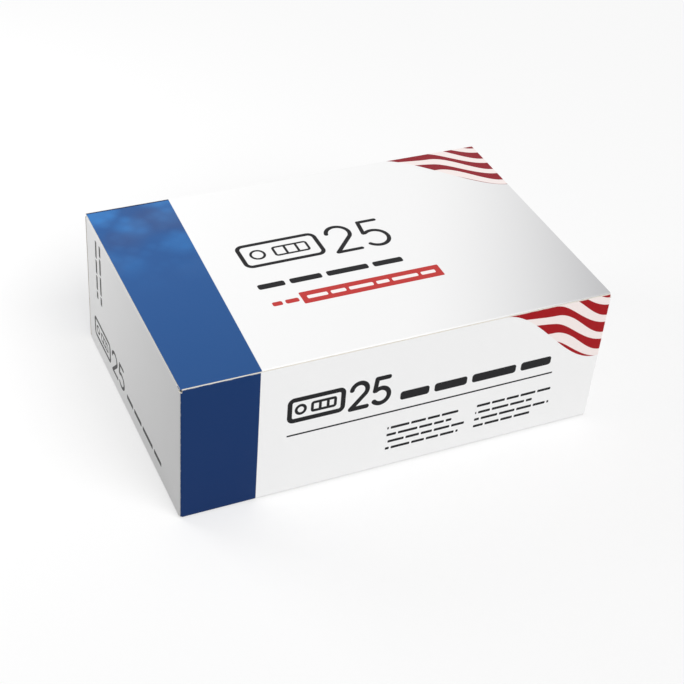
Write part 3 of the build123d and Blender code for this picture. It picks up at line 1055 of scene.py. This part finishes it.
def makePaper():
    material, w, shader, place = newMaterial("leafletPaper")
    skin = w.group("boardSkin", {"Place": place, "Fibre": 0.6})
    y, run, _ = w.split(w.add("ShaderNodeUVMap", uv_map="sheet").outputs[0])
    u = w.times(y, 1000.0)
    v = w.times(run, 1000.0)
    low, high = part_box("leaflet")
    panel = (high.z - low.z) * 1000
    fromFold = w.calc("PINGPONG", w.plus(v, 0.4), panel / 2)
    inPanel = w.span(fromFold, paper["foldClear"], paper["foldClear"] + 0.1)
    text = w.most([
        greek(w, u, v, left, 3.0, 50.0, 1.0, 0.9, rows=120.0, pitch=2.4, ragged=0.12, seed=seed)
        for left, seed in ((-55.0, 31.0), (3.0, 37.0))])
    tone = w.tint(skin["Tone"], hexColour(paper["tone"]), hexColour(paper["shade"]))
    shown = w.times(w.times(text, inPanel), 0.8)
    w.put(shader.inputs["Base Color"], w.tint(shown, tone, hexColour(paper["ink"])))
    w.feed(shader, {"Roughness": 0.8, "Specular IOR Level": 0.25})
    addBump(w, shader, skin["Height"], 0.25, 0.00008)
    return material


makeLeaflet(makePaper())
print("leaflet folded")


# Buffer bottle, dropper tip and cap

bottle = {
    "bodyTone": (0.86, 0.87, 0.86, 1.0),
    "tipTone": (0.90, 0.91, 0.91, 1.0),
    "capTone": (0.90, 0.90, 0.90, 1.0),
    "neck": 0.0052,            # radius
    "neckHeight": 0.0075,
    "flange": 0.001,           # of the tip, on the neck
    "nozzle": 0.009,
    "capGap": 0.00025,         # between the cap and what it covers
    "skirt": 0.009,
    "capRibs": 20,
    "ribHalfWidth": 0.00052,
    "ribDepth": 0.0005,
    "ribInset": 0.0003,        # from the skirt's two ends, and into it
}


def softCorner(before, corner, after, radius, steps=5):
    # A corner of a profile rounded off.
    a, c, b = Vector(before), Vector(corner), Vector(after)
    into, out = (a - c).normalized(), (b - c).normalized()
    half = into.angle(out) / 2
    reach = min(radius / math.tan(half), (a - c).length * 0.49, (b - c).length * 0.49)
    centre = c + (into + out).normalized() * (reach / math.cos(half))
    start, end = c + into * reach - centre, c + out * reach - centre
    sweep = start.angle_signed(end)
    return [tuple(centre + Matrix.Rotation(-sweep * i / steps, 2) @ start) for i in range(steps + 1)]


def softened(profile, radii, closed=False):
    # A whole profile with its corners rounded, each by its own radius.
    made = []
    count = len(profile)
    for i, (corner, radius) in enumerate(zip(profile, radii)):
        ends = not closed and i in (0, count - 1)
        if ends or radius <= 0:
            made.append(corner)
            continue
        made += softCorner(profile[i - 1], corner, profile[(i + 1) % count], radius)
    return made


def bottleAxis():
    low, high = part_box("buffer_bottle")
    return Vector(((low.x + high.x) / 2, (low.y + high.y) / 2, low.z)), high.z - low.z, (high.x - low.x) / 2


def turned(name, node, profile, axis, material, body="carton", segments=96, closed=True):
    points, faces = lathe(profile, segments, axis, closed)
    return finishPiece(name, points, faces, material, body, [node], 40)


def makeBottle(material):
    axis, top, radius = bottleAxis()
    shoulder = top - bottle["neckHeight"]
    neck = bottle["neck"]
    profile = [
        (0, top - 0.004), (0.0036, top - 0.004), (0.0036, top), (neck, top), (neck, shoulder + 0.0010),
        (0.0066, shoulder + 0.0010), (0.0066, shoulder), (0.0053, shoulder - 0.0002),
        (0.0080, shoulder - 0.0022), (radius, shoulder - 0.0048), (radius, 0), (0.0066, 0), (0.0058, 0.0009),
        (0, 0.0012)]
    radii = [0, 0, 0.0002, 0.0003, 0.0003, 0.0004, 0.0003, 0.0006, 0.006, 0.002, 0.0015, 0.0003, 0.0008, 0]
    turned(
        "bottle_shell", "buffer_bottle", softened(profile, radii), axis, material,
        closed=False)


def makeTip(material):
    axis, top, _ = bottleAxis()
    low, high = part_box("dropper_tip")
    end = high.z - axis.z
    flange = top + bottle["flange"]
    profile = [
        (0.0005, low.z - axis.z), (0.0036, low.z - axis.z), (0.0036, top), (0.0049, top), (0.0049, flange),
        (0.0030, flange), (0.0013, end), (0.0005, end)]
    radii = [0, 0.0002, 0, 0.0002, 0.0002, 0.0006, 0.0003, 0]
    turned(
        "tip_nozzle", "dropper_tip", softened(profile, radii, True), axis, material,
        segments=64)


def makeCap(material):
    axis, neckTop, _ = bottleAxis()
    low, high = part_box("bottle_cap")
    base, top = low.z - axis.z, high.z - axis.z
    outer = (high.x - low.x) / 2 - bottle["ribDepth"]
    skirtTop = base + bottle["skirt"]
    bore = bottle["neck"] + bottle["capGap"]
    boreTop = neckTop + bottle["flange"] + bottle["capGap"]
    nozzleTop = neckTop + bottle["nozzle"] + bottle["capGap"]
    profile = [
        (bore, base), (outer, base), (outer, skirtTop), (0.0059, skirtTop + 0.0006), (0.0046, top), (0, top)]
    radii = [0, 0.0003, 0.0004, 0.0005, 0.0010, 0]
    inner = [(0, nozzleTop), (0.0018, nozzleTop), (0.0034, boreTop), (bore, boreTop)]
    turned("cap_shell", "bottle_cap", softened(profile, radii) + inner, axis, material, "cap")
    return axis, base, skirtTop, outer


def plastic(name, tone, roughness, grain, clouded):
    material, w, shader, place = newMaterial(name)
    fine = w.noiseOf(place, grain, 3.0)
    cloud = w.noiseOf(place, 90.0, 2.0)
    darker = tuple(c * clouded for c in tone[:3]) + (1.0,)
    w.put(shader.inputs["Base Color"], w.tint(w.span(cloud, 0.35, 0.7), tone, darker))
    w.put(shader.inputs["Roughness"], w.span(fine, 0.3, 0.7, roughness - 0.05, roughness + 0.06))
    addBump(w, shader, fine, 0.12, 0.0001)
    shader.inputs["Specular IOR Level"].default_value = 0.5
    return material


def ribTree(material):
    # Ribs round the cap's skirt: each point of a circle carries one rib.
    tree = bpy.data.node_groups.new("ribRing", "GeometryNodeTree")
    for label, kind, standard in (
            ("Geometry", "NodeSocketGeometry", None), ("Count", "NodeSocketInt", bottle["capRibs"]),
            ("Radius", "NodeSocketFloat", 0.0065), ("Height", "NodeSocketFloat", 0.0)):
        socket = tree.interface.new_socket(label, in_out="INPUT", socket_type=kind)
        if standard is not None:
            socket.default_value = standard
    tree.interface.new_socket("Geometry", in_out="OUTPUT", socket_type="NodeSocketGeometry")
    w = Wiring(tree)
    given = w.add("NodeGroupInput").outputs
    circle = w.add("GeometryNodeMeshCircle", {"Vertices": given["Count"], "Radius": given["Radius"]})
    lifted = w.add("GeometryNodeTransform", {
        "Geometry": circle.outputs[0],
        "Translation": w.add("ShaderNodeCombineXYZ", {2: given["Height"]}).outputs[0]})
    index = w.add("GeometryNodeInputIndex").outputs[0]
    turn = w.over(w.times(index, 2 * math.pi), given["Count"])
    spin = w.add("ShaderNodeCombineXYZ", {2: turn}).outputs[0]
    ribs = w.add("GeometryNodeInstanceOnPoints", {
        "Points": lifted.outputs[0], "Instance": given["Geometry"], "Rotation": spin})
    real = w.add("GeometryNodeRealizeInstances", {0: ribs.outputs[0]})
    dressed = w.add("GeometryNodeSetMaterial", {"Geometry": real.outputs[0], "Material": material})
    w.add("NodeGroupOutput", {0: dressed.outputs[0]})
    return tree


def oneRib(height):
    # A rounded bar standing on the skirt, its back sunk a little into it.
    halfWidth, depth = bottle["ribHalfWidth"], bottle["ribDepth"]
    side = [
        (-bottle["ribInset"], halfWidth), (depth * 0.45, halfWidth), (depth * 0.85, halfWidth * 0.72),
        (depth, halfWidth * 0.3)]
    section = [(x, -y) for x, y in side] + side[::-1]
    points, faces = [], []
    levels = (
        (0.0, 0.55), (0.0003, 0.92), (0.0006, 1.0), (height - 0.0009, 1.0), (height - 0.0004, 0.85),
        (height, 0.35))
    for z, share in levels:
        points += [(x if x < 0 else x * share, y, z) for x, y in section]
    size = len(section)
    for level in range(len(levels) - 1):
        for i in range(size):
            j = (i + 1) % size
            below, above = level * size, (level + 1) * size
            faces.append((below + i, below + j, above + j, above + i))
    faces.append(tuple(reversed(range(size))))
    faces.append(tuple(range((len(levels) - 1) * size, len(levels) * size)))
    return points, faces


def makeCapRibs(material, axis, base, skirtTop, outer):
    points, faces = oneRib(skirtTop - base - 2 * bottle["ribInset"])
    mesh = bpy.data.meshes.new("ribSeed")
    mesh.from_pydata(points, [], faces)
    seed = addObject("ribSeed", mesh)
    tree = ribTree(material)
    modifier = seed.modifiers.new("ribs", "NODES")
    modifier.node_group = tree
    inputs = {item.name: item.identifier for item in tree.interface.items_tree if item.in_out == "INPUT"}
    modifier[inputs["Count"]] = bottle["capRibs"]
    modifier[inputs["Radius"]] = outer
    modifier[inputs["Height"]] = base + bottle["ribInset"]
    graph = bpy.context.evaluated_depsgraph_get()
    ring = bpy.data.meshes.new_from_object(seed.evaluated_get(graph))
    bpy.data.objects.remove(seed)
    points = [tuple(vertex.co + axis) for vertex in ring.vertices]
    faces = [tuple(face.vertices) for face in ring.polygons]
    return finishPiece("cap_ribs", points, faces, material, "cap", (), 45)


bottlePlastic = plastic("naturalPolyethylene", bottle["bodyTone"], 0.38, 700.0, 0.95)
tipPlastic = plastic("nozzlePolyethylene", bottle["tipTone"], 0.34, 700.0, 0.97)
capPlastic = plastic("whiteCap", bottle["capTone"], 0.32, 900.0, 0.98)
makeBottle(bottlePlastic)
makeTip(tipPlastic)
makeCapRibs(capPlastic, *makeCap(capPlastic))
print("bottle, tip and cap turned")
